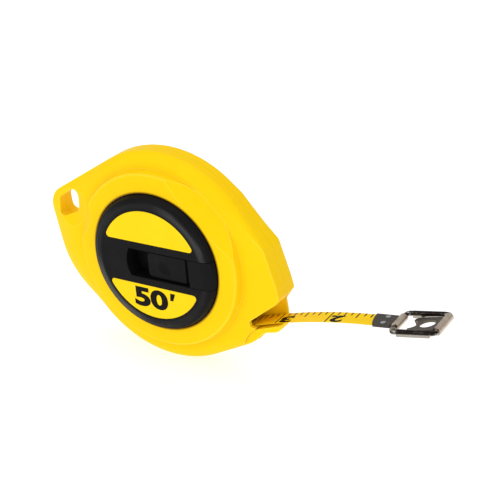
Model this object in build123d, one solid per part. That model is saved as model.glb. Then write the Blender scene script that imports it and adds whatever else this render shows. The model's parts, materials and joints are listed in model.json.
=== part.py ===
from build123d import *
from math import acos, asin, atan2, cos, degrees, hypot, pi, radians, sin, sqrt, tan
import os

# Crank-wound tape measure in a closed lemon-shaped case.  All sizes are in millimetres.
# The origin is the drum axis on the flat of the rear face.  +X points along the case towards the
# tape mouth, +Z is up, and the front of the case with its crank faces -Y.  Every "height" below is
# measured from the rear face towards the front, so a height h lies at y = -h.

# ---- driving dimensions: case -------------------------------------------------------------------
wall = 1.8                 # wall of both shells
rear_bulge = 3.3           # how far the rear drum bulge stands off the body
front_bulge = 4.0          # height of the front bulge at its rim
lip_rise = 0.7             # further rise of the bulge to the lip round the crank disc
ledge_wide = 8.08          # the flat ledge from the foot of a bulge to the case's edge
bulge_draft = 1.0          # how much narrower a bulge is at its top
edge_round = 3.5           # height of the case's soft edge
edge_soft = 6.0            # width of the soft edge round the drum
crease_round = 0.5         # width of the crisp edge beside the mouth
least_round = 0.3          # smallest corner radius of an outline
facet_lip = 0.35           # lip left between the disc's opening and the front facet
brow_angle = 49.0          # direction that the straight upper side and the facet look in
brow_fall = 4.0            # how far the flat face stays back along the straight upper side
case_centre = (0.28, -0.46)    # centre of that arc, a little off the drum axis
drawn_arc = 51.08          # the case's outline points are drawn for this radius round the drum
dish_radius = 26.0         # hollow in both faces round the hanging hole
dish_deep = 3.3

# ---- driving dimensions: reel -------------------------------------------------------------------
tape_width = 9.525
tape_thick = 0.2
coil_outer = 36.9
hub_radius = 24.0
hub_wall = 1.6
flange_rim = 1.7           # how far the drum's flanges stand out past the full coil
flange_room = 4.4          # from the flanges to the foot of the bulges
flange_thick = 1.0
coil_side_gap = 0.35
tape_room = 0.4375         # room between the tape's edge and the wall beside it
axle_radius = 5.0
boss_wall = 3.0
washer_thick = 0.8
running_gap = 0.05
part_gap = 0.3             # room between pieces that move past each other
screw_tip_gap = 0.2125     # room between the crank screw's tip and the axle's end
rib_count = 6

# ---- driving dimensions: crank ------------------------------------------------------------------
disc_radius = 32.9
disc_gap = 0.45            # gap between the disc's edge and the case lip
disc_rise = 3.9            # how far the disc's face stands in front of the lip
disc_wall = 1.8
disc_tilt = 4.3            # the resting turn of the disc, anticlockwise seen from the front
channel_half = 6.9
well_radius = 13.2
well_base = 1.2            # thickness of the floor of the round well
key_side = 10.0            # square key that drives the drum
key_deep = 2.4
label_rim = 6.5            # from the disc's edge to the labels' arc
label_chord = 10.4
label_round = 1.6
label_deep = 0.5
label_thick = 0.4
arm_pin_inset = 4.9        # from the disc's edge to the arm's pin
arm_pin_deep = 1.6         # depth of the pin's centre under the disc's face
arm_pin_radius = 0.8
arm_half = 5.8
arm_deep = 1.2             # how far the arm's outer face lies under the disc's face
arm_thick = 2.1
arm_tip_x = -2.0
block_long = 7.4           # from the start of the arm's flush hinge block to its pin
block_gap = 0.25
knob_x = 7.6
knob_radius = 4.4
knob_gap = 0.55            # room under the folded knob
stud_radius = 1.2
stud_bite = 0.6            # how far the knob's stud reaches into the arm

# ---- driving dimensions: tape path --------------------------------------------------------------
exit_spot = (58.09, -17.58)    # where the tape leaves the case, drawn as the outline is
bow_radius = 263.0         # radius of the gentle downward bow of the blade
run_lift = 0.4             # the hidden run of tape clears the coil by this
blade_drop = 0.35          # and the blade lies this far under the run
blade_inside = 15.0        # blade kept behind the exit mark at rest
sleeve_start = 46.0        # from the exit mark to the steel sleeve
sleeve_long = 10.2
sleeve_slant = 3.0         # how much later the sleeve starts at its near corner
sleeve_half = 5.25
sleeve_thick = 1.1
blade_in_sleeve = 4.3
mouth_under = 1.0          # gap under the tape in the mouth
mouth_side = 0.5           # gap beside the tape in the mouth

# ---- driving dimensions: hook -------------------------------------------------------------------
loop_long = 19.7           # between the centres of the loop's two cross wires
loop_wide = 17.2           # between the centres of its rails
rail_high = 3.2            # the rails are pressed taller than the cross wires
rail_ends = 2.7            # from the centre of a cross wire to the start of the tall rail
loop_round = 1.7
wire_radius = 1.15
roll_wall = 0.6
clip_thick = 0.5
clip_half = 4.4
claw_thick = 1.0
claw_long = 14.5
claw_half = 5.9
loop_tilt = 3.4            # the loop stands up from the tape by this angle
claw_droop = 4.6           # and the claw hangs under the loop by this one
window_inset = 7.0         # from the end wire to the middle of the claw's window
rivet_radius = 0.8
rivet_head_radius = 1.15
rivet_head = 0.25
rivet_spots = [(6.3, -2.7), (6.3, 2.7)]    # from the sleeve's start, and from the tape's middle


# ---- sizes that follow ----------------------------------------------------------------------------
body_half = tape_width / 2 + tape_room + wall      # half the thickness of the case body
tape_mid = rear_bulge + body_half      # height of the plane where the shells meet
flange_radius = coil_outer + flange_rim
bulge_foot = flange_radius + flange_room           # radius of both bulges at their foot
drum_arc = bulge_foot + ledge_wide                 # radius of the case round the drum
face_height = tape_mid + body_half
rear_height = tape_mid - body_half
rim_height = face_height + front_bulge
lip_height = rim_height + lip_rise
disc_face = lip_height + disc_rise
opening_radius = disc_radius + disc_gap
lip_radius = opening_radius + 1.0
facet_reach = opening_radius + facet_lip
coil_low = tape_mid - tape_width / 2
coil_high = tape_mid + tape_width / 2
flange_low = coil_low - coil_side_gap - flange_thick
cap_low = coil_high + coil_side_gap
cap_high = cap_low + flange_thick
web_half = 0.8
axle_long = tape_mid + web_half + 0.1 - wall
well_floor = cap_high + well_base
arm_pin_x = disc_radius - arm_pin_inset
arm_pin_height = disc_face - arm_pin_deep
arm_high = disc_face - arm_deep
arm_low = arm_high - arm_thick
block_x = arm_pin_x - block_long
label_arc = disc_radius - label_rim


def out(x, z):
    """A point of the drawn outline, moved straight out as the case grows round its drum."""
    reach = hypot(x, z)
    return (x * (1 + (drum_arc - drawn_arc) / reach), z * (1 + (drum_arc - drawn_arc) / reach))


def at(height):
    """The plane facing the front at a height above the rear face."""
    return Plane((0, -height, 0), x_dir=(1, 0, 0), z_dir=(0, -1, 0))


def slab(sketch, low, high):
    return extrude(at(low) * sketch, high - low)


def turned(points):
    """A solid of revolution about the drum axis from (radius, height) points."""
    outline = Polyline(*[(r, -h) for r, h in points], close=True)
    return revolve(make_face(outline), Axis.Y)


def tube(outer, inner, low, high):
    return slab(Circle(outer) - Circle(inner), low, high)


def outline(circles):
    """The closed outline that hugs a ring of circles (x, z, r) listed anticlockwise."""
    normals = []
    for (x0, z0, r0), (x1, z1, r1) in zip(circles, circles[1:] + circles[:1]):
        gap = hypot(x1 - x0, z1 - z0)
        normals.append(atan2(z1 - z0, x1 - x0) - acos((r0 - r1) / gap))
    edges = []
    count = len(circles)
    for i, (x, z, r) in enumerate(circles):
        start = normals[i - 1]
        end = start + (normals[i] - start) % (2 * pi)
        spots = [(x + r * cos(a), z + r * sin(a)) for a in (start, (start + end) / 2, end)]
        edges.append(ThreePointArc(*spots))
        x1, z1, r1 = circles[(i + 1) % count]
        edges.append(Line(spots[2], (x1 + r1 * cos(end), z1 + r1 * sin(end))))
    return Wire(edges)


def case_circles(step, inset=0.0):
    """The case's outline circles; step runs from 0 at the side wall to 1 on the flat face."""
    drop = 1 - sqrt(1 - step * step)
    brow = radians(brow_angle)
    brow_r = 8.0
    brow_reach = drum_arc - brow_r + 0.15 - brow_fall * drop
    brow_x = brow_reach * cos(brow) + 3.0 * sin(brow)
    brow_z = brow_reach * sin(brow) - 3.0 * cos(brow)
    soft, crisp = edge_soft, crease_round
    ring = [
        (*out(58.8, -3.6), 2.3, 0.2, (0, 0)),
        (*out(57.36, 0.99), 2.6, 0.6, (0, 0)),
        (*out(48.24, 14.44), 6.0, crisp, (0, 0)),
        (brow_x, brow_z, brow_r, crisp, (0, 0)),
        (*case_centre, drum_arc, soft, (0, 0)),
        (*out(-53.57, 10.61), 11.0, 1.5, (12.0, -3.0)),
        (-22.81, 1.17, drum_arc - 12.5, 7.5, (5.5, 0)),
        (*case_centre, drum_arc, soft, (0, 0)),
        (*out(45.5, -28.6), 3.4, 2.2, (-1.0, 0.5)),
    ]
    return [
        (x + step * dx, z + step * dz, max(r - drop * s - inset, least_round))
        for x, z, r, s, (dx, dz) in ring
    ]



def half_body(inset, top, ruled):
    """One half of the case body, from the meeting plane up to a face 'top' above it."""
    shoulder = top - edge_round
    sections = []
    steps = (0.0, 0.75, 1.0) if ruled else (0.0, 0.5, 0.8, 0.95, 1.0)
    for step in steps:
        level = Plane((0, 0, shoulder + step * edge_round))
        sections.append(make_face(level * outline(case_circles(step, inset))))
    cap = loft(sections, ruled=ruled)
    base = extrude(make_face(outline(case_circles(0.0, inset))), shoulder)
    return base + cap


def facing_front(solid):
    """Stand a solid built upwards from the meeting plane on it, facing the front."""
    return at(tape_mid) * solid


def mirrored(solid):
    """A solid of the front half, mirrored to the rear side of the meeting plane."""
    return mirror(solid, Plane((0, -tape_mid, 0), z_dir=(0, 1, 0)))


def along_brow(x, t):
    """A point at distance x from the drum axis towards the facet, and t along it."""
    a = radians(brow_angle)
    return (x * cos(a) + t * sin(a), x * sin(a) - t * cos(a))


# ---- case ---------------------------------------------------------------------------------------
hole_circles = [
    (*out(-50.4, 18.8), 2.8),
    (*out(-57.1, 14.3), 2.3),
    (*out(-56.6, 9.2), 2.6),
    (*out(-50.6, 12.6), 2.8),
]
dish_spot = out(-54.5, 15.0)
boss_radius = 3.0
screw_radius = 1.3
head_radius = 2.4


def facet_cut(drop):
    """The space in front of the facet plane, moved down by 'drop' for the inside of the wall."""
    reach_foot = bulge_foot - 0.6
    run = reach_foot - facet_reach
    fall = lip_height - face_height
    slope = fall / run
    far = 80.0
    points = [
        (facet_reach, lip_height - drop),
        (facet_reach + far, lip_height - drop - slope * far),
        (facet_reach + far, lip_height + far),
        (facet_reach - far * 0.2, lip_height + far),
        (facet_reach - far * 0.2, lip_height - drop + slope * far * 0.2),
    ]
    face = make_face(Polyline(*[(n, -h) for n, h in points], close=True))
    wedge = extrude(face, 60.0, both=True)
    return Rot(0, -brow_angle, 0) * wedge


def front_bulge_solid(inset):
    """The round bulge round the crank, with its facet towards the straight upper side."""
    top_radius = bulge_foot - bulge_draft
    shape = turned([
        (0, face_height - 2.5),
        (bulge_foot - inset, face_height - 2.5),
        (bulge_foot - inset, face_height),
        (top_radius - inset, rim_height - inset),
        (lip_radius, lip_height - inset),
        (0, lip_height - inset),
    ])
    rim = shape.edges().filter_by(GeomType.CIRCLE).sort_by(Axis.Y)
    rims = [e for e in rim if abs(e.radius - (top_radius - inset)) < 0.01]
    shape = fillet(rims, 0.22 * (front_bulge - inset))
    return shape - facet_cut(inset)


def rear_bulge_solid(inset):
    top_radius = bulge_foot - bulge_draft
    shape = turned([
        (0, rear_height + 2.5),
        (bulge_foot - inset, rear_height + 2.5),
        (bulge_foot - inset, rear_height),
        (top_radius - inset, inset),
        (0, inset),
    ])
    rims = [e for e in shape.edges().filter_by(GeomType.CIRCLE)
            if abs(e.radius - (top_radius - inset)) < 0.01]
    return fillet(rims, 0.36 * (rear_bulge - inset))


def dish(extra):
    """The ball that hollows the front face round the hanging hole."""
    x, z = dish_spot
    return Pos(x, -(face_height - dish_deep + dish_radius), z) * Sphere(dish_radius + extra)


def drum_tangent(radius, reach):
    """A point on the tape's straight run: 'reach' from where it is tangent to 'radius'."""
    a = radians(exit_angle)
    return (radius * sin(a) + reach * cos(a), -radius * cos(a) + reach * sin(a))


blade_radius = coil_outer + run_lift + blade_drop
exit_x, exit_z = out(*exit_spot)
exit_far = hypot(exit_x, exit_z)
exit_angle = degrees(atan2(exit_z, exit_x) + asin(blade_radius / exit_far))
exit_reach = sqrt(exit_far ** 2 - blade_radius ** 2)
bow_x = exit_x + bow_radius * sin(radians(exit_angle))
bow_z = exit_z - bow_radius * cos(radians(exit_angle))


def tape_point(s, off=0.0):
    """A point s along the bowed blade from the exit mark, and 'off' above its middle."""
    a = radians(exit_angle) - s / bow_radius
    return (bow_x - (bow_radius + off) * sin(a), bow_z + (bow_radius + off) * cos(a))


def blade_strip(start, end, low, high):
    """The outline of a bowed strip along the tape, seen from the front."""
    middle = (start + end) / 2
    a, b, c = (tape_point(t, low) for t in (start, middle, end))
    d, e, f = (tape_point(t, high) for t in (start, middle, end))
    return make_face([ThreePointArc(a, b, c), Line(c, f), ThreePointArc(f, e, d), Line(d, a)])


def plan(points):
    return make_face(Polyline(*points, close=True))


# ---- case: mouth, hole and screws ---------------------------------------------------------------
mouth_corner = out(46.15, -19.4)
mouth_lip = out(61.4, -5.1)
lobe_top = out(46.9, -21.7)
lobe_tip = out(49.6, -22.0)
parting_waist = out(45.9, -26.4)
parting_foot = out(43.2, -34.6)
jaw_edge = [out(61.7, -19.4), out(58.4, -21.8), out(55.2, -22.9), out(53.0, -24.2),
            out(51.2, -26.4), out(48.9, -29.0), out(45.7, -31.6), out(43.0, -33.2)]
cheek_edge = [out(60.2, -5.0), out(57.9, -9.8), out(59.4, -17.5), out(59.5, -24.0)]
screw_under_tape = tape_point(-24.0, -(boss_radius + 2 * part_gap))
screw_spots = [out(-46.4, -2.2), out(-18.6, -41.6), out(25.6, 37.2), screw_under_tape]
tongue_height = face_height - 0.9
cheek_height = tape_mid - tape_width / 2 - mouth_side
parting_gap = 0.12


def parting_arc(shift):
    """The curve in the front where the shell stops and the tongue of the rear shell starts."""
    return ThreePointArc(*[(x + shift, z) for x, z in (lobe_tip, parting_waist, parting_foot)])


def mouth_plan():
    """The open mouth, between its ceiling and the sill under the tape."""
    sill = [tape_point(s, -mouth_under) for s in (30.0, 4.0, -blade_inside)]
    back = tape_point(-blade_inside, 2.2)
    return plan([mouth_corner, mouth_lip, (85.0, mouth_lip[1] + 8.0), *sill, back])


def beyond_parting(shift):
    """Everything to the right of the parting curve and under the mouth's ceiling."""
    low = parting_foot[1]
    far = 90.0 + mouth_lip[0]
    steps = [(parting_foot[0] + shift, low), (far, low), (far, mouth_lip[1] + 8.0), mouth_lip,
             mouth_corner, (lobe_top[0] + shift, lobe_top[1]), (lobe_tip[0] + shift, lobe_tip[1])]
    return make_face([parting_arc(shift), *Polyline(*steps).edges()])


def ceiling_plan():
    """The wall over the mouth, from its inner corner to the nose of the case."""
    (x0, z0), (x1, z1) = mouth_corner, mouth_lip
    length = hypot(x1 - x0, z1 - z0)
    nx, nz = -(z1 - z0) / length * wall, (x1 - x0) / length * wall
    ex, ez = (x1 - x0) / length * 4.0, (z1 - z0) / length * 4.0
    return plan([(x0, z0), (x1 + ex, z1 + ez), (x1 + ex + nx, z1 + ez + nz), (x0 + nx, z0 + nz)])


def jaw_plan():
    """The plan of the jaw, above the curved underside that the jaw and its tongue share."""
    left, low = jaw_edge[-1]
    right = jaw_edge[0][0]
    top = cheek_edge[0][1] + 3.0
    rest = Polyline(jaw_edge[-1], (left - 4.0, low + 5.0), (left - 4.0, top), (right + 0.5, top),
                    jaw_edge[0])
    return make_face([Spline(*jaw_edge), *rest.edges()])


def cheek_plan():
    """The jaw's outer wall, which stops behind the tongue's tip."""
    left, low = jaw_edge[-1]
    (x0, z0), (x1, z1) = cheek_edge[0], cheek_edge[-1]
    keep = plan([(left - 9.0, z0), *cheek_edge, (x1, low - 9.0), (left - 9.0, low - 9.0)])
    return jaw_plan() & keep


def tongue_plan():
    """The tongue under the tape, which the rear shell carries to the front."""
    low = jaw_edge[-1][1] - 9.0
    under = plan([tape_point(-30.0, -mouth_under), tape_point(4.0, -mouth_under),
                  tape_point(12.0, -mouth_under), (jaw_edge[0][0] + 20.0, low),
                  (jaw_edge[-1][0] - 20.0, low)])
    return jaw_plan() & under & beyond_parting(parting_gap)


def hole_shape(extra):
    return make_face(outline([(x, z, r + extra) for x, z, r in hole_circles]))


def bosses(low, high, radius):
    return [slab(Pos(x, z) * Circle(radius), low, high) for x, z in screw_spots]


def make_front_shell():
    outer = facing_front(half_body(0, body_half, False)) + front_bulge_solid(0)
    room = facing_front(half_body(wall, body_half - wall, True)) + front_bulge_solid(wall)
    room -= slab(hole_shape(1.6), tape_mid, rim_height)
    room -= dish(wall)
    room -= slab(ceiling_plan(), tape_mid, rim_height)
    for boss in bosses(tape_mid, face_height, boss_radius):
        room -= boss
    shell = outer - room
    shell -= slab(Circle(opening_radius), lip_height - wall - 3.0, lip_height + 1.0)
    shell -= slab(hole_shape(0), 0, rim_height)
    shell -= dish(0)
    shell -= slab(beyond_parting(0), tape_mid - 1.0, rim_height)
    for hole in bosses(tape_mid - 1.0, face_height - 2.6, screw_radius):
        shell -= hole
    return shell


def make_rear_shell():
    half = mirrored(facing_front(half_body(0, body_half, False)))
    cheek = slab(cheek_plan(), rear_height, tape_mid)
    cheek = chamfer(cheek.faces().sort_by(Axis.Y)[-1].edges(), 0.8)
    tongue = slab(tongue_plan(), tape_mid - 1.2, tongue_height)
    front_edges = tongue.faces().sort_by(Axis.Y)[0].edges().filter_by(GeomType.BSPLINE)
    tongue = fillet(front_edges, 0.5)
    outer = half + cheek + rear_bulge_solid(0)
    room = mirrored(facing_front(half_body(wall, body_half - wall, True))) + rear_bulge_solid(wall)
    room -= slab(hole_shape(1.6), 0, tape_mid)
    room -= mirrored(dish(wall))
    room -= slab(ceiling_plan(), 0, tape_mid)
    room -= slab(beyond_parting(parting_gap), 0, tape_mid)
    for boss in bosses(rear_height, tape_mid, boss_radius):
        room -= boss
    shell = outer - room - slab(mouth_plan(), cheek_height, face_height) + tongue
    shell -= slab(hole_shape(0), 0, rim_height)
    shell -= mirrored(dish(0))
    shell += slab(Circle(axle_radius), wall - 0.5, wall + axle_long)
    for hole in bosses(0, tape_mid + 1.0, screw_radius):
        shell -= hole
    for sink in bosses(0, rear_height + 2.7, head_radius + 0.2):
        shell -= sink
    return shell


def make_case_screws():
    screws = []
    for x, z in screw_spots:
        head = slab(Pos(x, z) * Circle(head_radius), rear_height + 1.0, rear_height + 2.7)
        slot_a = slab(Pos(x, z) * Rectangle(2.8, 0.6), rear_height, rear_height + 1.8)
        slot_b = slab(Pos(x, z) * Rectangle(0.6, 2.8), rear_height, rear_height + 1.8)
        shank = slab(Pos(x, z) * Circle(screw_radius), rear_height + 2.7, face_height - 2.8)
        screws.append(head - slot_a - slot_b + shank)
    return screws


# ---- reel ---------------------------------------------------------------------------------------
boss_low = wall + washer_thick + 0.1
boss_outer = axle_radius + running_gap + boss_wall


def turn_disc(solid):
    """Turn a crank piece to the disc's resting angle."""
    return Rot(0, -disc_tilt, 0) * solid


def make_drum():
    web_low, web_high = tape_mid - web_half, tape_mid + web_half
    shape = tube(hub_radius, hub_radius - hub_wall, flange_low, cap_low)
    shape += tube(flange_radius, hub_radius - hub_wall, flange_low, flange_low + flange_thick)
    shape += slab(Circle(hub_radius - 0.5), web_low, web_high)
    shape += slab(Circle(boss_outer), boss_low, cap_low)
    rib_long = hub_radius - 1.0 - boss_outer + 1.0
    for i in range(rib_count):
        rib = Box(rib_long, cap_low - flange_low - 2.0, 1.4)
        middle = Pos(boss_outer - 1.0 + rib_long / 2, -(cap_low + flange_low) / 2, 0)
        shape += Rot(0, 360 * i / rib_count, 0) * middle * rib
    shape -= slab(Circle(axle_radius + running_gap), 0, wall + axle_long + part_gap)
    pocket = slab(Rectangle(key_side + 0.1, key_side + 0.1), cap_low - key_deep, cap_high)
    shape -= turn_disc(pocket)
    shape -= slab(Circle(1.5), tape_mid, cap_high)
    shape -= anchor_slot(0.05)
    return shape


def anchor_slot(extra):
    """The slot across the hub's wall that holds the wedge pin and the end of the tape."""
    pin = slab(Pos(0, hub_radius - 1.3) * Circle(1.1 + extra), coil_low - extra, coil_high + extra)
    return pin


def make_drum_flange():
    cap = tube(flange_radius, boss_outer + 1.0, cap_low, cap_high)
    cap += tube(hub_radius - hub_wall - 0.1, hub_radius - hub_wall - 1.5, cap_low - 1.0, cap_low)
    for i in range(rib_count):
        hole = slab(Pos(15.0, 0) * Circle(3.2), cap_low - 1.5, cap_high + 1.0)
        cap -= Rot(0, 360 * (i + 0.5) / rib_count, 0) * hole
    return cap - anchor_slot(part_gap)


# ---- crank --------------------------------------------------------------------------------------
skirt_low = lip_height - 1.4
cradle_floor = arm_pin_height - 5.6
cradle_low = cradle_floor - 1.2


def dome(inset, low):
    """The disc's rounded face as a solid, moved in by 'inset'."""
    return turned([
        (0, low),
        (disc_radius - inset, low),
        (disc_radius - inset, lip_height + 0.3),
        (disc_radius - 1.0 - inset, disc_face - 1.5 - inset),
        (disc_radius - 3.2 - inset, disc_face - 0.35 - inset),
        (disc_radius - 5.4 - inset, disc_face - inset),
        (0, disc_face - inset),
    ])


def strip(x0, x1, half, low, high):
    return slab(Pos((x0 + x1) / 2, 0) * Rectangle(x1 - x0, 2 * half), low, high)


def label_plan(inset, side):
    """A D-shaped label above (side 1) or below (side -1) the channel."""
    disc = Circle(label_arc - inset)
    keep = Pos(0, side * (label_chord + inset + 25.0)) * Rectangle(100.0, 50.0)
    shape = disc & keep
    return fillet(shape.vertices(), label_round)


def make_crank_disc():
    disc = dome(0, skirt_low) - dome(disc_wall, skirt_low - 1.0)
    disc += slab(Circle(well_radius + 1.2), cap_high + 0.05, disc_face - 0.5)
    cradle = strip(well_radius - 2.0, disc_radius - 0.4, channel_half + 1.6, cradle_low, disc_face)
    disc += cradle & dome(0.3, cradle_low)
    disc += slab(Rectangle(key_side, key_side), cap_high - flange_thick - key_deep + 0.2,
                 well_floor - 0.5)
    disc -= slab(Circle(well_radius), well_floor, disc_face + 1.0) & strip(
        -well_radius, well_radius, channel_half, well_floor, disc_face + 1.0)
    disc -= strip(0, block_x - 1.0, channel_half, arm_low - 0.4, disc_face + 1.0)
    disc -= strip(block_x - 1.2, disc_radius + 2.0, channel_half, cradle_floor, disc_face + 1.0)
    for side in (1, -1):
        disc -= slab(label_plan(0, side), disc_face - label_deep, disc_face + 1.0)
    disc -= slab(Circle(2.9 + 0.05), well_floor - 1.7, well_floor + 1.0)
    disc -= slab(Circle(1.55), cap_low - key_deep - 1.0, well_floor + 1.0)
    disc -= arm_pin(arm_pin_radius, channel_half + 1.3)
    return disc


def arm_pin(radius, half):
    pin = Cylinder(radius, 2 * half)
    return Pos(arm_pin_x, -arm_pin_height, 0) * pin


def make_crank_screw():
    low = wall + axle_long + screw_tip_gap
    screw = slab(Circle(2.9), well_floor - 1.7, well_floor - 0.2)
    screw += slab(Circle(1.5), low, well_floor - 1.7)
    screw -= slab(Rectangle(3.6, 0.7), well_floor - 0.9, well_floor)
    screw -= slab(Rectangle(0.7, 3.6), well_floor - 0.9, well_floor)
    return screw


def make_crank_arm():
    half = channel_half - block_gap
    block = dome(0, cradle_floor) & strip(block_x, disc_radius + 1.0, half, cradle_floor, disc_face)
    under = Pos(arm_pin_x, -arm_pin_height, 0) * Cylinder(3.7, 2 * half)
    under += strip(block_x, arm_pin_x, half, arm_low, disc_face)
    under += strip(arm_pin_x, disc_radius + 1.0, half, lip_height + 0.3, disc_face)
    block &= under
    tile = strip(arm_tip_x, block_x + 0.5, arm_half, arm_low, arm_high)
    ends = tile.edges().filter_by(Axis.Y).group_by(Axis.X)[0]
    tile = fillet(ends, 2.0)
    dimple = Pos(knob_x, -arm_high - 6.0, 0) * Sphere(7.2)
    arm = block + tile
    arm -= strip(block_x - 2.4, block_x - 0.4, 8.0, arm_high - 0.9, disc_face)
    arm -= dimple
    arm -= arm_pin(arm_pin_radius + running_gap, half + 1.0)
    arm -= slab(Pos(knob_x, 0) * Circle(stud_radius), arm_low - 1.0, arm_low + stud_bite)
    return arm


def make_knob_rivet():
    low = well_floor + knob_gap
    stud = slab(Pos(knob_x, 0) * Circle(stud_radius), low + 0.6, arm_low + stud_bite)
    return stud + slab(Pos(knob_x, 0) * Circle(2.2), low + 0.1, low + 0.7)


def make_crank_knob():
    high = arm_low - part_gap / 2
    low = well_floor + knob_gap
    knob = slab(Pos(knob_x, 0) * Circle(knob_radius), low, high)
    knob = chamfer(knob.edges().filter_by(GeomType.CIRCLE), 0.5)
    for i in range(10):
        a = radians(36 * i)
        spot = Pos(knob_x + (knob_radius + 0.35) * cos(a), (knob_radius + 0.35) * sin(a))
        knob -= slab(spot * Circle(0.7), low - 1, high + 1)
    knob -= slab(Pos(knob_x, 0) * Circle(stud_radius + running_gap), low - 1.0, high + 1.0)
    knob -= slab(Pos(knob_x, 0) * Circle(2.2 + part_gap), low - 1.0, low + 0.9)
    return knob


# ---- tape and hook ------------------------------------------------------------------------------
blade_end = sleeve_start + blade_in_sleeve
roll_radius = wire_radius + running_gap + roll_wall
roll_u = sleeve_long + roll_radius + 0.35
roll_w = 0.0
start_roll_half = tape_width / 2
end_roll_half = loop_wide / 2 - loop_round - 0.1
end_u = roll_u + loop_long


def make_tape_run():
    x0, z0 = drum_tangent(coil_outer + run_lift, 0)
    x1, z1 = drum_tangent(coil_outer + run_lift, exit_reach - blade_inside + 3.0)
    nx, nz = -sin(radians(exit_angle)) * tape_thick / 2, cos(radians(exit_angle)) * tape_thick / 2
    shape = plan([(x0 - nx, z0 - nz), (x1 - nx, z1 - nz), (x1 + nx, z1 + nz), (x0 + nx, z0 + nz)])
    return slab(shape, coil_low, coil_high)


def make_tape_blade():
    return slab(blade_strip(-blade_inside, blade_end, -tape_thick / 2, tape_thick / 2),
                coil_low, coil_high)


def hook_place():
    """The frame at the sleeve's start: X along the tape, Z up off its face."""
    a = radians(exit_angle) - sleeve_start / bow_radius
    x, z = tape_point(sleeve_start)
    return Location(Plane((x, -tape_mid, z), x_dir=(cos(a), 0, sin(a)), z_dir=(-sin(a), 0, cos(a))))


def loop_place():
    """Turns the loop and the claw up about the hinge at the sleeve."""
    return Pos(roll_u, 0, roll_w) * Rot(0, -loop_tilt, 0) * Pos(-roll_u, 0, -roll_w)


def claw_place():
    """Lets the claw hang down about the loop's end wire."""
    return loop_place() * Pos(end_u, 0, roll_w) * Rot(0, -claw_droop, 0) * Pos(-end_u, 0, -roll_w)


def block_at(u0, u1, half, w0, w1):
    return Pos((u0 + u1) / 2, 0, (w0 + w1) / 2) * Box(u1 - u0, 2 * half, w1 - w0)


def across(u, w, radius, half):
    """A round bar across the tape."""
    return Pos(u, 0, w) * Rot(90, 0, 0) * Cylinder(radius, 2 * half)


def make_blade_sleeve():
    thick = sleeve_thick / 2
    sleeve = block_at(0, sleeve_long, sleeve_half, -thick, thick)
    sleeve = fillet(sleeve.edges().filter_by(Axis.X), 0.4)
    sleeve -= block_at(-1, blade_in_sleeve + 0.1, tape_width / 2 + 0.02, -0.18, 0.18)
    sleeve -= block_at(blade_in_sleeve + 0.4, sleeve_long + 1, clip_half + 0.02,
                       -clip_thick / 2, clip_thick / 2)
    side = sleeve_half + 1.0
    start = ThreePointArc((0, side), (0.2 * sleeve_slant, 0), (sleeve_slant, -side))
    rest = Polyline((sleeve_slant, -side), (-2.0, -side), (-2.0, side), (0, side))
    sleeve -= extrude(make_face([start, *rest.edges()]), 2.0, both=True)
    for u, y in rivet_spots:
        sleeve -= Pos(u, y, 0) * Cylinder(rivet_radius, 4.0)
    return sleeve


def make_hinge_clip():
    clip = block_at(blade_in_sleeve + 0.4, roll_u, clip_half, -clip_thick / 2, clip_thick / 2)
    clip += across(roll_u, roll_w, roll_radius, start_roll_half)
    clip -= across(roll_u, roll_w, wire_radius + running_gap, loop_wide)
    for u, y in rivet_spots:
        clip -= Pos(u, y, 0) * Cylinder(rivet_radius, 4.0)
    return clip


def make_sleeve_rivets():
    rivets = []
    for u, y in rivet_spots:
        rivet = Cylinder(rivet_radius, sleeve_thick)
        for side in (1, -1):
            lift = Pos(0, 0, side * (sleeve_thick + rivet_head) / 2)
            rivet += lift * Cylinder(rivet_head_radius, rivet_head)
        rivets.append(Pos(u, y, 0) * rivet)
    return rivets


def make_hook_loop():
    path = RectangleRounded(loop_long, loop_wide, loop_round).face().outer_wire()
    middle = roll_u + loop_long / 2
    ring = Pos(middle, 0, roll_w) * path
    start = Plane(origin=ring @ 0, z_dir=ring % 0)
    loop = sweep(start * Circle(wire_radius), ring)
    rail = Box(loop_long - 2 * rail_ends, 2 * wire_radius, rail_high)
    rail = fillet(rail.edges().filter_by(Axis.X), 0.8 * wire_radius)
    rail_w = roll_w + wire_radius - rail_high / 2
    for side in (1, -1):
        loop += Pos(middle, side * loop_wide / 2, rail_w) * rail
    return loop


def make_hook_claw():
    low, high = roll_w - claw_thick / 2, roll_w + claw_thick / 2
    tip = end_u - claw_long
    plate = block_at(tip, end_u, claw_half, low, high)
    plate = fillet(plate.edges().filter_by(Axis.Z).group_by(Axis.X)[0], 1.8)
    notch = Pos(tip - 0.6, 0, roll_w) * Cylinder(3.6, 4.0)
    window = Pos(end_u - window_inset, 0, roll_w) * extrude(Ellipse(3.6, 3.3), 3.0, both=True)
    plate = plate - notch - window
    for side in (1, -1):
        tooth = Pos(tip + 0.6, side * (claw_half - 1.5), low - 0.6) * Box(0.9, 1.6, 1.4)
        plate += tooth
    claw = plate + across(end_u, roll_w, roll_radius, end_roll_half)
    return claw - across(end_u, roll_w, wire_radius + running_gap, loop_wide)


# ---- write the parts ----------------------------------------------------------------------------
def write(name, solids):
    if isinstance(solids, list):
        solids = Compound([piece for shape in solids for piece in shape.solids()])
    export_step(solids, f"parts/{name}.step")


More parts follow.
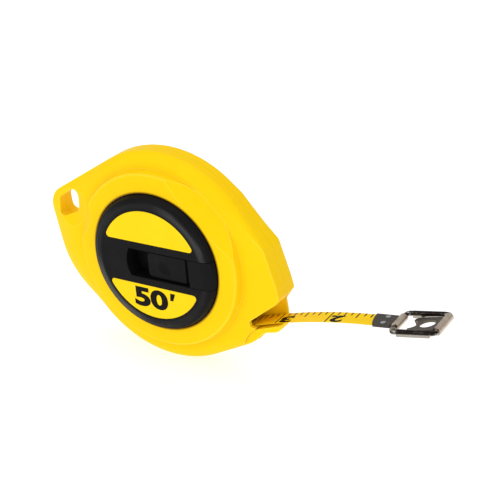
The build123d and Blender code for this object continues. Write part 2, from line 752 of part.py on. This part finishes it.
def main():
    os.makedirs("parts", exist_ok=True)
    write("front_shell", make_front_shell())
    write("rear_shell", make_rear_shell())
    write("case_screws", make_case_screws())
    write("drum_washer", tube(boss_outer, axle_radius + 0.2, wall, wall + washer_thick))
    write("tape_run", make_tape_run())
    write("drum", make_drum())
    write("drum_flange", make_drum_flange())
    write("tape_coil", tube(coil_outer, hub_radius, coil_low, coil_high))
    write("anchor_pin", anchor_slot(0))
    write("crank_disc", turn_disc(make_crank_disc()))
    label_low = disc_face - label_deep
    for name, side in (("upper_label", 1), ("lower_label", -1)):
        label = slab(label_plan(0.08, side), label_low, label_low + label_thick)
        write(name, turn_disc(label))
    write("crank_screw", make_crank_screw())
    write("arm_pin", turn_disc(arm_pin(arm_pin_radius, channel_half + 1.3)))
    write("crank_arm", turn_disc(make_crank_arm()))
    write("knob_rivet", turn_disc(make_knob_rivet()))
    write("crank_knob", turn_disc(make_crank_knob()))
    write("tape_blade", make_tape_blade())
    place = hook_place()
    write("blade_sleeve", place * make_blade_sleeve())
    write("hinge_clip", place * make_hinge_clip())
    write("sleeve_rivets", [place * rivet for rivet in make_sleeve_rivets()])
    write("hook_loop", place * loop_place() * make_hook_loop())
    write("hook_claw", place * claw_place() * make_hook_claw())


if __name__ == "__main__":
    main()
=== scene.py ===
import json
from math import atan2, cos, hypot, radians, sin

import bmesh
import bpy
from mathutils import Matrix, Vector


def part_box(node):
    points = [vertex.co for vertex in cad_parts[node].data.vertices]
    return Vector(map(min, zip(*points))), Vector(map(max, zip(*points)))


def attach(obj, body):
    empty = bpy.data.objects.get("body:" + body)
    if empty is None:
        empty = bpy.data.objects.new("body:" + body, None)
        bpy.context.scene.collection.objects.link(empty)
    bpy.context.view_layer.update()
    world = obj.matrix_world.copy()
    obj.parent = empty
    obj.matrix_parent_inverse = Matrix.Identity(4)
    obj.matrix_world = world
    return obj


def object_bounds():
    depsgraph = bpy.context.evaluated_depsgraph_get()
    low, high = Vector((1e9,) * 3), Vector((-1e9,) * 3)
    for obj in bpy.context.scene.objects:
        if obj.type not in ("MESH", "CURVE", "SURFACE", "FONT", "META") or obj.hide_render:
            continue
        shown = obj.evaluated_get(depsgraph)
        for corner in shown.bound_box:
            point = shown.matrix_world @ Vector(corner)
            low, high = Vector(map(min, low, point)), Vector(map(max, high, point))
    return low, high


# Looks of a crank-wound tape measure: the finishes of its CAD pieces, the marks printed on the tape
# and on the crank disc's lower label, a pale floor, studio light and a camera.  Everything is in
# metres in the model's own frame: X runs from the drum's axis towards the mouth, Z is up, and the
# front of the case faces -Y.

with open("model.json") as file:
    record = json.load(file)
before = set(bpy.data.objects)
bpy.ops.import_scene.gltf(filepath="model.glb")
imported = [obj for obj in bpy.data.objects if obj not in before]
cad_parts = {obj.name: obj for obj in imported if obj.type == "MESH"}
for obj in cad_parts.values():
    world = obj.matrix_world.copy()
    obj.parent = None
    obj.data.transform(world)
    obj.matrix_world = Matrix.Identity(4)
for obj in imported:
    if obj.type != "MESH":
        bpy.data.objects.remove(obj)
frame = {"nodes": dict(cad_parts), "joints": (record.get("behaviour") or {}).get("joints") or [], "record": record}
cad_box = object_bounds()

MM = 0.001


def joint(name):
    return next(j for j in frame["joints"] if j["name"] == name)


# ---- places on the model ------------------------------------------------------------------------
MEETING = -joint("reel_spin")["pos_m"][1]      # depth of the plane where the two shells meet
FRONT = 19.0 * MM          # depth past which a surface belongs to the front bulge
OPENING = 33.35 * MM       # radius of the round opening in the front shell
BAND_START = 26.6 * MM     # inner radius of the band on the crank disc where a sheen is painted
BAND_WIDE = 4.4 * MM
ROLL_REACH = 2.0 * MM      # how far the rolled ends of the clip and the claw reach round the wire

# ---- printed marks ------------------------------------------------------------------------------
INK = 0.03 * MM            # thickness of the ink, half of which is sunk in what carries it
INCH = 25.4 * MM
TWO_INCHES = 24.9 * MM     # from the blade's hidden end to its two inch line
TICKS = range(-6, 13)      # eighths of an inch from the two inch line
TICK_WIDE = 0.62 * MM
TICK_LONG = (4.6 * MM, 2.6 * MM, 3.2 * MM, 2.6 * MM)      # by the eighths past the last half inch
INCH_NUMBERS = (2, 3)
INCH_NUMBER = {"tall": 6.2 * MM, "wide": 6.5 * MM, "weight": 0.05}
INCH_NUMBER_SPOT = (-4.3 * MM, 1.55 * MM)      # from its inch line and from the tape's middle
FEET = {"words": "50", "tall": 10.1 * MM, "wide": 18.6 * MM, "weight": 0.045}
FEET_SPOT = (-1.7 * MM, -16.85 * MM)           # on the disc, from its middle, across and up
FOOT_MARK_TALL = 3.8 * MM
FOOT_MARK_WIDE = 2.7 * MM                      # at its top
FOOT_MARK_SPOT = (10.6 * MM, -13.9 * MM)
FOOT_MARK_TAPER = 0.62                         # its lower end's width as a share of its top's
FOOT_MARK_LEAN = 0.9 * MM                      # how far its lower end lies to the left

# ---- studio -------------------------------------------------------------------------------------
CAMERA_PLACE = (0.269193, -0.391637, 0.245205)
CAMERA_AZIMUTH = 30.73     # degrees round to the right of the front
CAMERA_ELEVATION = 27.685  # degrees above the level
CAMERA_LENS = 82.8
CAMERA_SENSOR = 36.0
SKY = 0.56                 # strength of the even white light from all round
LAMPS = (
    # name, place, aim, width, height, watts
    ("key", (-0.45, -1.0, 0.75), (0.0, 0.0, 0.0), 0.8, 0.8, 4.0),
    ("fill", (1.1, -0.55, 0.35), (0.0, 0.0, 0.0), 0.7, 0.9, 1.3),
    ("low", (0.45, -0.85, 0.0), (0.05, 0.0, 0.0), 0.4, 0.25, 1.1),
    ("overhead", (0.0, 0.2, 1.3), (0.0, 0.0, 0.0), 1.2, 1.2, 6.3),
)
FLOOR_HALF = 6.0


# ---- shader maths -------------------------------------------------------------------------------
class Field:
    """A value that changes over a surface.  Sums and products of fields add their own nodes."""

    def __init__(self, tree, socket):
        self.tree = tree
        self.socket = socket

    def __add__(self, other):
        return maths(self.tree, "ADD", self, other)

    def __sub__(self, other):
        return maths(self.tree, "SUBTRACT", self, other)

    def __rsub__(self, other):
        return maths(self.tree, "SUBTRACT", other, self)

    def __mul__(self, other):
        return maths(self.tree, "MULTIPLY", self, other)

    def __truediv__(self, other):
        return maths(self.tree, "DIVIDE", self, other)

    def __pow__(self, other):
        return maths(self.tree, "POWER", self, other)

    def __abs__(self):
        return maths(self.tree, "ABSOLUTE", self)

    __radd__ = __add__
    __rmul__ = __mul__

    def above(self, low, high):
        """Rises smoothly from 0 at 'low' to 1 at 'high'."""
        sockets = {"Value": self, "From Min": low, "From Max": high}
        smooth = {"interpolation_type": "SMOOTHSTEP"}
        return add_node(self.tree, "ShaderNodeMapRange", "Result", sockets, smooth)


def plug(tree, value, socket):
    """Links a field to a socket, or sets a plain value on it."""
    if isinstance(value, Field):
        tree.links.new(value.socket, socket)
    else:
        socket.default_value = value


def add_node(tree, kind, result, sockets=(), settings=()):
    """Any node: its settings are set first, then its sockets, by their name or their number."""
    node = tree.nodes.new(kind)
    for name, value in dict(settings).items():
        setattr(node, name, value)
    for name, value in dict(sockets).items():
        plug(tree, value, node.inputs[name])
    return Field(tree, node.outputs[result])


def maths(tree, operation, *values):
    """A Math node on fields and plain numbers, in the order of its sockets."""
    return add_node(tree, "ShaderNodeMath", "Value", enumerate(values), {"operation": operation})


class Finish:
    """A material in the making, with the constant values of its shader set first."""

    def __init__(self, name, **constants):
        self.material = bpy.data.materials.new(name)
        self.material.use_nodes = True
        self.tree = self.material.node_tree
        self.shader = self.tree.nodes["Principled BSDF"]
        for socket, value in constants.items():
            self.shader.inputs[socket.replace("_", " ")].default_value = value
        self.place = self.add("ShaderNodeTexCoord", "Object")

    def add(self, kind, result, sockets=(), settings=()):
        return add_node(self.tree, kind, result, sockets, settings)

    def axis(self, name):
        """Position along the model's own X, Y or Z."""
        return self.add("ShaderNodeSeparateXYZ", name, {"Vector": self.place})

    def out(self):
        """Distance from the drum's axis."""
        return (self.axis("X") ** 2 + self.axis("Z") ** 2) ** 0.5

    def noise(self, scale, detail, rough, stretch=(1, 1, 1)):
        """Noise with 'scale' grains in a metre, drawn out along the axes by 'stretch'."""
        where = self.add("ShaderNodeMapping", "Vector", {"Vector": self.place, "Scale": stretch})
        sockets = {"Vector": where, "Scale": scale, "Detail": detail, "Roughness": rough}
        return self.add("ShaderNodeTexNoise", "Fac", sockets)

    def blend(self, amount, first, second):
        """One colour turning into another as 'amount' goes from 0 to 1."""
        colours = [c if isinstance(c, Field) else (*c, 1) for c in (first, second)]
        sockets = {0: amount, 6: colours[0], 7: colours[1]}
        return self.add("ShaderNodeMix", 2, sockets, {"data_type": "RGBA"})

    def crease(self, radius):
        """Rises from 0 to 1 across the sharp edges, over the radius they would be rounded by: where a highlight is
        painted.
        """
        rounded = self.add("ShaderNodeBevel", "Normal", {"Radius": radius}, {"samples": 4})
        plain = self.add("ShaderNodeNewGeometry", "Normal")
        pair = {0: rounded, 1: plain}
        alike = self.add("ShaderNodeVectorMath", "Value", pair, {"operation": "DOT_PRODUCT"})
        return (1 - alike).above(0.001, 0.006)

    def wear(self, **sockets):
        """Feeds the shader's sockets, with _ for the space in a socket's name."""
        for name, value in sockets.items():
            plug(self.tree, value, self.shader.inputs[name.replace("_", " ")])

    def bumps(self, height, distance, strength):
        """Relief too fine to model, up to 'distance' deep where 'height' changes by 1."""
        sockets = {"Height": height, "Distance": distance, "Strength": strength}
        self.wear(Normal=self.add("ShaderNodeBump", "Normal", sockets))


# ---- finishes -----------------------------------------------------------------------------------
def moulded_yellow():
    """Glossy ABS with a faint orange peel, a painted highlight along its sharp creases, painted shade round the
    disc's opening, and a line where the shells meet.
    """
    bright = (0.985, 0.622, 0.0032)
    deep = (0.975, 0.645, 0.0040)
    seam = (0.62, 0.33, 0.002)
    # painted highlight colour for the sharp creases
    painted_crease_highlight = (0.99, 0.83, 0.10)
    # painted shade colour for the gap round the disc's opening
    painted_lip_shade = (0.20, 0.075, 0.003)
    finish = Finish("case_yellow", Specular_IOR_Level=0.05)
    patches = finish.noise(38.0, 3.0, 0.55)
    peel = finish.noise(1500.0, 2.0, 0.5)
    specks = finish.noise(5200.0, 1.0, 0.4)
    out = finish.out()
    depth = abs(finish.axis("Y") + MEETING)
    line = 1 - depth.above(0.04 * MM, 0.16 * MM)
    # a painted highlight along the sharp creases, kept off the seam and off the opening's edge
    crease = finish.crease(0.4 * MM) * depth.above(0.5 * MM, 1.0 * MM)
    crease = crease * out.above(OPENING + 1.05 * MM, OPENING + 1.85 * MM)
    # painted shade: the front darkened in the narrow gap round the disc's opening
    front = 1 - finish.axis("Y").above(-FRONT - 1.0 * MM, -FRONT + 1.0 * MM)
    lip_shade_mask = front * (1 - out.above(OPENING + 0.15 * MM, OPENING + 0.95 * MM))
    colour = finish.blend(patches.above(0.3, 0.7), bright, deep)
    colour = finish.blend(line * 0.3, colour, seam)
    colour = finish.blend(crease * 0.6, colour, painted_crease_highlight)
    colour = finish.blend(lip_shade_mask * 0.85, colour, painted_lip_shade)
    finish.wear(Base_Color=colour, Roughness=0.34 + 0.10 * patches + 0.05 * specks)
    finish.bumps(peel + 0.3 * specks - 0.6 * line, 0.03 * MM, 0.55)
    return finish


def moulded_black(name):
    """Black plastic with a fine grain, a little smoother where it is rubbed."""
    black = (0.0055, 0.0055, 0.0060)
    grey = (0.0078, 0.0076, 0.0080)
    finish = Finish(name, Specular_IOR_Level=0.07, Coat_Roughness=0.2)
    grain = finish.noise(2600.0, 2.0, 0.6)
    rubbed = finish.noise(70.0, 3.0, 0.6).above(0.45, 0.75)
    colour = finish.blend(rubbed, black, grey)
    finish.wear(Base_Color=colour, Roughness=0.40 + 0.14 * grain - 0.08 * rubbed)
    finish.bumps(grain, 0.03 * MM, 0.6)
    return finish


def disc_plastic():
    """The same plastic, with a painted sheen: more coat in a band inside its rim, most of all up one diagonal."""
    finish = moulded_black("crank_disc")
    rise = finish.out().above(BAND_START, BAND_START + BAND_WIDE)
    slant = abs(finish.axis("X") + finish.axis("Z")) / finish.out()     # 1.41 on the diagonal
    sheen_diagonal = slant.above(1.0, 1.41)
    # painted sheen: coat weight raised in the band, most along one diagonal
    finish.wear(Coat_Weight=rise * (1 - rise) * (0.6 + 2.8 * sheen_diagonal))
    return finish


def label_film():
    """Printed film under a clear face, almost smooth."""
    printed = (0.98, 0.655, 0.0060)
    lighter = (0.99, 0.675, 0.0075)
    finish = Finish("label_yellow", Specular_IOR_Level=0.04, Coat_Roughness=0.12)
    cloud = finish.noise(120.0, 2.0, 0.5)
    fine = finish.noise(3800.0, 1.0, 0.5)
    colour = finish.blend(cloud.above(0.3, 0.7), printed, lighter)
    finish.wear(Base_Color=colour, Roughness=0.26 + 0.06 * fine, Coat_Weight=0.03 + 0.03 * cloud)
    finish.bumps(fine, 0.008 * MM, 0.4)
    return finish


def tape_enamel():
    """Baked enamel on thin steel, rubbed a little along the tape's length."""
    enamel = (0.965, 0.640, 0.0060)
    rubbed = (0.93, 0.585, 0.0050)
    finish = Finish("tape_paint", Specular_IOR_Level=0.06)
    streaks = finish.noise(900.0, 2.0, 0.55, (0.06, 1.0, 0.06))
    cloud = finish.noise(90.0, 2.0, 0.5)
    colour = finish.blend(streaks.above(0.35, 0.8), enamel, rubbed)
    finish.wear(Base_Color=colour, Roughness=0.26 + 0.14 * streaks + 0.05 * cloud)
    finish.bumps(streaks, 0.01 * MM, 0.35)
    return finish


def blackened_steel():
    """Oxide-black steel, brushed along its length, with a warmer brown where it is handled."""
    oxide = (0.050, 0.043, 0.037)
    handled = (0.10, 0.088, 0.076)
    finish = Finish("dark_steel", Specular_IOR_Level=0.45)
    brushed = finish.noise(2200.0, 2.0, 0.6, (0.08, 1.0, 0.08))
    worn = finish.noise(260.0, 3.0, 0.6).above(0.5, 0.8)
    colour = finish.blend(worn, oxide, handled)
    finish.wear(Base_Color=colour, Metallic=0.45 + 0.3 * worn, Roughness=0.36 + 0.18 * brushed)
    finish.bumps(brushed, 0.01 * MM, 0.35)
    return finish


def wire_nickel():
    """Polished wire with a dark plating, painted glints in patches at its corners, and a painted reflection of the
    floor along its lower side.
    """
    plating = (0.016, 0.013, 0.011)
    lighter = (0.055, 0.046, 0.037)
    painted_corner_glint = (0.42, 0.39, 0.36)
    painted_floor_reflection = (0.36, 0.33, 0.29)
    finish = Finish("wire_nickel", Metallic=1.0)
    near = joint("loop_swing")["pos_m"]
    far = joint("claw_swing")["pos_m"]
    middle = (near[0] + far[0]) / 2
    half = (far[0] - near[0]) / 2
    slope = (far[2] - near[2]) / (far[0] - near[0])
    height = finish.axis("Z") - near[2] - slope * (finish.axis("X") - near[0])
    cloud = finish.noise(420.0, 3.0, 0.55)
    scratches = finish.noise(3000.0, 2.0, 0.7, (1.0, 0.12, 1.0))
    # where glints are painted: patches near the loop's corners at both ends
    corners = abs(finish.axis("X") - middle).above(half - 3.4 * MM, half - 1.2 * MM)
    # where a reflection of the floor is painted: the wire's lower side, below a ragged line
    above_belly = (height + 0.4 * MM * cloud).above(-0.45 * MM, 0.0)
    colour = finish.blend(cloud.above(0.4, 0.7), plating, lighter)
    colour = finish.blend(corners * cloud.above(0.42, 0.56), colour, painted_corner_glint)
    colour = finish.blend(above_belly, painted_floor_reflection, colour)
    finish.wear(Base_Color=colour, Roughness=0.10 + 0.08 * cloud + 0.06 * scratches)
    finish.bumps(scratches + cloud, 0.012 * MM, 0.3)
    return finish


def strip_nickel(name, hinge):
    """Plated strip, rubbed bright on the roll round a hinge's pin and with a painted highlight there too, painted
    shade down one side of the roll, and its flat duller and darkened as painted shade.
    """
    bright = (0.62, 0.52, 0.42)
    brown = (0.44, 0.35, 0.27)
    painted_roll_shade = (0.10, 0.075, 0.055)
    dull = (0.128, 0.108, 0.082)
    finish = Finish(name, Metallic=1.0)
    pin = joint(hinge)["pos_m"]
    across = finish.axis("X") - pin[0]
    up = finish.axis("Z") - pin[2]
    flat = ((across * across + up * up) ** 0.5).above(ROLL_REACH, ROLL_REACH + 0.6 * MM)
    cloud = finish.noise(420.0, 3.0, 0.55)
    scratches = finish.noise(3000.0, 2.0, 0.7, (1.0, 0.12, 1.0))
    # the roll rubbed bright; its brightness is partly a painted highlight
    colour = finish.blend(cloud.above(0.35, 0.75), bright, brown)
    # painted shade down one side of the roll
    colour = finish.blend(across.above(-1.5 * MM, -0.7 * MM), painted_roll_shade, colour)
    # the flat duller: worn less, and darkened as painted shade
    colour = finish.blend(flat, colour, dull)
    finish.wear(Base_Color=colour, Roughness=0.26 + 0.12 * cloud + 0.08 * scratches)
    finish.bumps(scratches + cloud, 0.012 * MM, 0.3)
    return finish


def natural_plastic():
    """Uncoloured acetal of the reel, milky and slightly waxy."""
    milky = (0.60, 0.59, 0.56)
    waxy = (0.70, 0.69, 0.66)
    finish = Finish("reel_plastic", Specular_IOR_Level=0.4)
    cloud = finish.noise(160.0, 3.0, 0.5)
    grain = finish.noise(2400.0, 1.0, 0.5)
    finish.wear(Base_Color=finish.blend(cloud, milky, waxy), Roughness=0.42 + 0.12 * grain)
    finish.bumps(grain, 0.02 * MM, 0.4)
    return finish


def zinc_steel():
    """Zinc-plated screws, rivets and pins, with turning marks and dull spots."""
    zinc = (0.50, 0.50, 0.51)
    dull = (0.34, 0.34, 0.36)
    finish = Finish("screw_steel", Metallic=1.0)
    spots = finish.noise(900.0, 3.0, 0.6)
    turned = finish.noise(4000.0, 1.0, 0.5, (1.0, 0.2, 1.0))
    colour = finish.blend(spots.above(0.4, 0.8), zinc, dull)
    finish.wear(Base_Color=colour, Roughness=0.24 + 0.16 * spots + 0.08 * turned)
    finish.bumps(turned + spots, 0.01 * MM, 0.4)
    return finish


def printing_ink():
    """Black ink, slightly raised, with tiny pinholes in its coverage."""
    black = (0.0035, 0.0032, 0.0030)
    pinhole = (0.020, 0.016, 0.006)
    finish = Finish("ink", Specular_IOR_Level=0.08)
    cover = finish.noise(5200.0, 2.0, 0.6)
    colour = finish.blend(cover.above(0.62, 0.8), black, pinhole)
    finish.wear(Base_Color=colour, Roughness=0.40 + 0.12 * cover)
    finish.bumps(cover, 0.006 * MM, 0.4)
    return finish


def floor_paper():
    """White paper that glows a little, so that it stays pale under the object."""
    shade = (0.54, 0.54, 0.54)
    light = (0.57, 0.57, 0.57)
    glow = {"Emission_Color": (1, 1, 1, 1), "Emission_Strength": 0.65}
    finish = Finish("floor_paper", Specular_IOR_Level=0.0, **glow)
    fibre = finish.noise(60.0, 2.0, 0.5)
    finish.wear(Base_Color=finish.blend(fibre, shade, light), Roughness=0.8 + 0.1 * fibre)
    return finish


# ---- printed marks ------------------------------------------------------------------------------
def add_piece(name, mesh, finish, body):
    """Turns a finished bmesh into a piece of the model that rides on a body."""
    data = bpy.data.meshes.new(name)
    mesh.to_mesh(data)
    mesh.free()
    data.materials.append(finish.material)
    piece = bpy.data.objects.new(name, data)
    bpy.context.scene.collection.objects.link(piece)
    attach(piece, body)


def glyphs(words, tall, wide, weight):
    """Numerals as a thin flat mesh in X and Y, centred, with strokes made heavier by 'weight'."""
    curve = bpy.data.curves.new("numerals", "FONT")
    curve.body = words
    curve.offset = weight
    curve.extrude = 0.5        # any thickness will do, because the mesh is scaled to the ink's
    curve.resolution_u = 5
    holder = bpy.data.objects.new("numerals", curve)
    data = bpy.data.meshes.new_from_object(holder)
    mesh = bmesh.new()
    mesh.from_mesh(data)
    bpy.data.objects.remove(holder)
    bmesh.ops.remove_doubles(mesh, verts=mesh.verts, dist=1e-5)
    low = Vector([min(v.co[i] for v in mesh.verts) for i in range(3)])
    high = Vector([max(v.co[i] for v in mesh.verts) for i in range(3)])
    size = high - low
    bmesh.ops.translate(mesh, verts=mesh.verts, vec=-(low + high) / 2)
    bmesh.ops.scale(mesh, verts=mesh.verts, vec=(wide / size.x, tall / size.y, INK / size.z))
    return mesh


def add_bar(mesh, x, low, high, wide):
    """Adds a printed line across X from 'low' to 'high' along Y."""
    verts = bmesh.ops.create_cube(mesh, size=1.0)["verts"]
    bmesh.ops.scale(mesh, verts=verts, vec=(wide, high - low, INK))
    bmesh.ops.translate(mesh, verts=verts, vec=(x, (low + high) / 2, 0))


class Blade:
    """The bowed upper face of the pulled-out tape, which bends round the feed joint's axis."""

    def __init__(self):
        self.centre = Vector(joint("blade_feed")["pos_m"])
        rays = [v.co - self.centre for v in frame["nodes"]["tape_blade"].data.vertices]
        self.reach = max(hypot(ray.x, ray.z) for ray in rays)
        self.end = min(atan2(ray.z, ray.x) for ray in rays)
        self.half = (max(ray.y for ray in rays) - min(ray.y for ray in rays)) / 2

    def bend(self, mesh, back):
        """Lays a flat mesh on the tape: X runs back from the tape's end, Y to its near edge."""
        for vert in mesh.verts:
            angle = self.end + (back + vert.co.x) / self.reach
            far = self.reach + vert.co.z
            side = self.centre.y - vert.co.y
            vert.co = (self.centre.x + far * cos(angle), side, self.centre.z + far * sin(angle))


def add_tape_marks(ink):
    """Inch lines and their eighths from the far edge, and the number after each inch line."""
    blade = Blade()
    lines = bmesh.new()
    for eighth in TICKS:
        long = TICK_LONG[eighth % 4]
        if eighth % 8 == 0:
            long = 2 * blade.half
        add_bar(lines, eighth * INCH / 8, -blade.half, -blade.half + long, TICK_WIDE)
    blade.bend(lines, TWO_INCHES)
    add_piece("tape_ticks", lines, ink, "blade")
    for number in INCH_NUMBERS:
        digit = glyphs(str(number), **INCH_NUMBER)
        bmesh.ops.translate(digit, verts=digit.verts, vec=(*INCH_NUMBER_SPOT, 0))
        blade.bend(digit, TWO_INCHES + (number - INCH_NUMBERS[0]) * INCH)
        add_piece(f"tape_number_{number}", digit, ink, "blade")


def on_label(mesh, spot):
    """Stands a flat mesh on the lower label, at a spot measured along the disc's own X and up."""
    hinge = joint("arm_fold")["axis"]
    tilt = atan2(-hinge[0], hinge[2])
    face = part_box("lower_label")[0][1]
    stand = Matrix(((1, 0, 0), (0, 0, -1), (0, 1, 0))).to_4x4()
    place = Matrix.Translation((spot[0], face, spot[1]))
    turn = Matrix.Rotation(-tilt, 4, "Y")
    bmesh.ops.transform(mesh, matrix=turn @ place @ stand, verts=mesh.verts)


def add_label_marks(ink):
    """The tape's length in feet, in heavy numerals, and the foot mark after it."""
    number = glyphs(**FEET)
    on_label(number, FEET_SPOT)
    add_piece("label_number", number, ink, "reel")
    mark = bmesh.new()
    half = FOOT_MARK_TALL / 2
    add_bar(mark, 0, -half, half, FOOT_MARK_WIDE)
    for vert in mark.verts:
        if vert.co.y < 0:
            vert.co.x = FOOT_MARK_TAPER * vert.co.x - FOOT_MARK_LEAN
    on_label(mark, FOOT_MARK_SPOT)
    add_piece("label_foot_mark", mark, ink, "reel")


# ---- studio -------------------------------------------------------------------------------------
def looking(azimuth, elevation):
    """The turn of a camera on the front side, that far round to the right and above the level."""
    a = radians(azimuth)
    e = radians(elevation)
    right = Vector((cos(a), sin(a), 0))
    back = Vector((sin(a) * cos(e), -cos(a) * cos(e), sin(e)))
    return Matrix((right, back.cross(right), back)).transposed().to_4x4()


def hold(name, data, place):
    """Puts a camera, a lamp or a mesh in the scene, at its place and turn."""
    holder = bpy.data.objects.new(name, data)
    bpy.context.scene.collection.objects.link(holder)
    holder.matrix_world = place
    return holder


def add_camera():
    camera = bpy.data.cameras.new("camera")
    camera.sensor_width = CAMERA_SENSOR
    camera.lens = CAMERA_LENS
    camera.clip_start = 0.01
    camera.clip_end = 20.0
    place = Matrix.Translation(CAMERA_PLACE) @ looking(CAMERA_AZIMUTH, CAMERA_ELEVATION)
    bpy.context.scene.camera = hold("camera", camera, place)


def add_lamp(name, place, aim, wide, high, watts):
    lamp = bpy.data.lights.new(name, "AREA")
    lamp.shape = "RECTANGLE"
    lamp.size = wide
    lamp.size_y = high
    lamp.energy = watts
    turn = (Vector(place) - Vector(aim)).to_track_quat("Z", "Y")
    hold(name, lamp, Matrix.Translation(place) @ turn.to_matrix().to_4x4())


def add_sky():
    world = bpy.data.worlds.new("studio")
    world.use_nodes = True
    background = world.node_tree.nodes["Background"]
    background.inputs["Color"].default_value = (1, 1, 1, 1)
    background.inputs["Strength"].default_value = SKY
    bpy.context.scene.world = world


def add_floor():
    """A plain floor at the height of the object's lowest point."""
    mesh = bmesh.new()
    bmesh.ops.create_grid(mesh, x_segments=1, y_segments=1, size=FLOOR_HALF)
    bmesh.ops.translate(mesh, verts=mesh.verts, vec=(0, 0, cad_box[0][2]))
    data = bpy.data.meshes.new("floor")
    mesh.to_mesh(data)
    mesh.free()
    data.materials.append(floor_paper().material)
    hold("floor", data, Matrix.Identity(4))


# ---- the scene ----------------------------------------------------------------------------------
add_camera()
add_sky()
for lamp in LAMPS:
    add_lamp(*lamp)
add_floor()

by_slot = {
    "case_yellow": moulded_yellow(),
    "disc_black": moulded_black("disc_black"),
    "label_yellow": label_film(),
    "tape_paint": tape_enamel(),
    "dark_steel": blackened_steel(),
    "nickel": wire_nickel(),
    "reel_plastic": natural_plastic(),
    "screw_steel": zinc_steel(),
}
by_node = {
    "crank_disc": disc_plastic(),
    "sleeve_rivets": by_slot["screw_steel"],
    "hinge_clip": strip_nickel("hinge_clip", "loop_swing"),
    "hook_claw": strip_nickel("hook_claw", "claw_swing"),
}
for part in frame["record"]["subparts"]:
    name = part["node"]
    finish = by_node.get(name, by_slot[part["material_slot"]])
    node = frame["nodes"][name]
    node.data.materials.clear()
    node.data.materials.append(finish.material)

ink = printing_ink()
add_tape_marks(ink)
add_label_marks(ink)

bpy.context.scene.view_settings.view_transform = "Standard"
